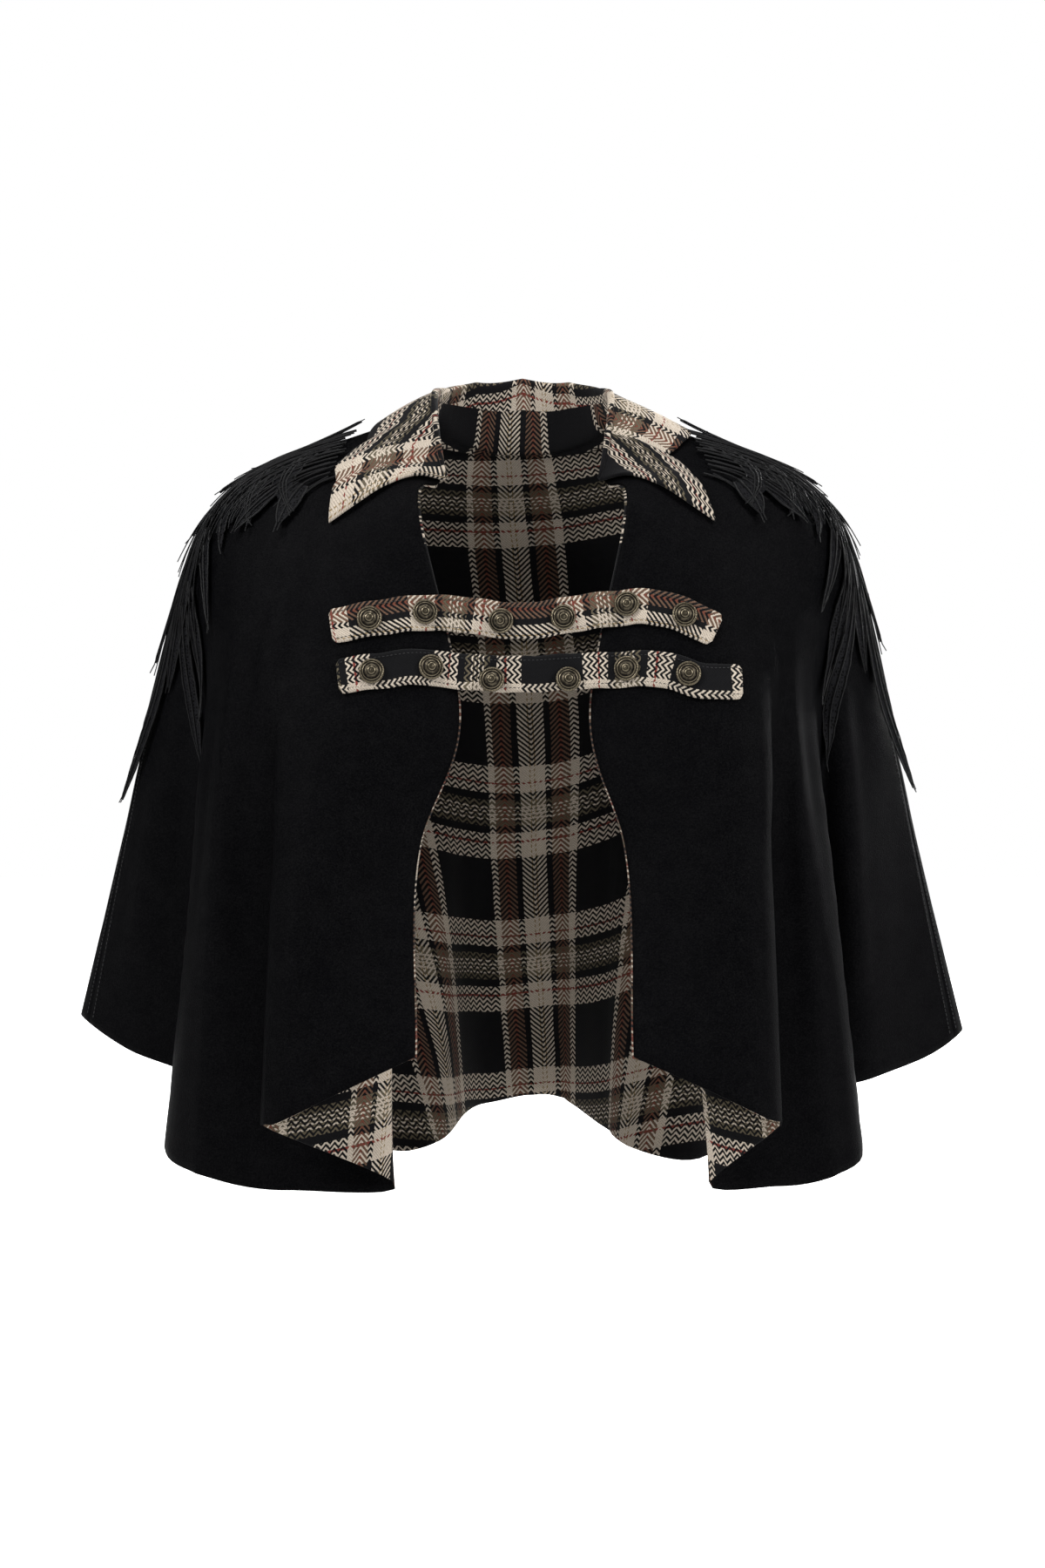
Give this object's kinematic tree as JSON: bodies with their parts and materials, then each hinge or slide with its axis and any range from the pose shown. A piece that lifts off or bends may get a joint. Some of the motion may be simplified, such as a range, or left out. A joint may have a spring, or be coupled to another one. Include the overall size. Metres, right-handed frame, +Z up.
{
  "type": "short cape",
  "caption": "Open-fronted lined wool cape with a pointed turned-down collar, buttoned straps across the gap, feather appliques on the shoulders and a hem in soft flutes",
  "frame": {"origin": "Midway between the two side neck points, where the wearer's shoulders carry the cape", "axes": "+X to the wearer's left, +Y to the wearer's back, +Z up; the open front faces -Y"},
  "size_m": [0.7287, 0.3801, 0.646],
  "materials": {
    "black_wool": "matt black felted wool with a short soft nap",
    "plaid_wool": "herringbone plaid in black, cream, brown and olive with thin red lines",
    "antique_bronze": "darkened antique bronze, brighter on the raised edges",
    "black_thread": "black embroidery thread with a slight lustre"
  },
  "bodies": {
    "root": {"shell_right_front": "black_wool", "shell_back": "black_wool", "shell_left_front": "black_wool", "lining_right_front": "plaid_wool", "lining_back": "plaid_wool", "lining_left_front": "plaid_wool", "collar": "plaid_wool", "strap_upper": "plaid_wool", "strap_lower": "plaid_wool", "button_upper_1": "antique_bronze", "button_upper_2": "antique_bronze", "button_upper_3": "antique_bronze", "button_upper_4": "antique_bronze", "button_upper_5": "antique_bronze", "button_upper_6": "antique_bronze", "button_lower_1": "antique_bronze", "button_lower_2": "antique_bronze", "button_lower_3": "antique_bronze", "button_lower_4": "antique_bronze", "button_lower_5": "antique_bronze", "button_lower_6": "antique_bronze", "applique_right": "black_thread", "applique_left": "black_thread"}
  },
  "joints": []
}
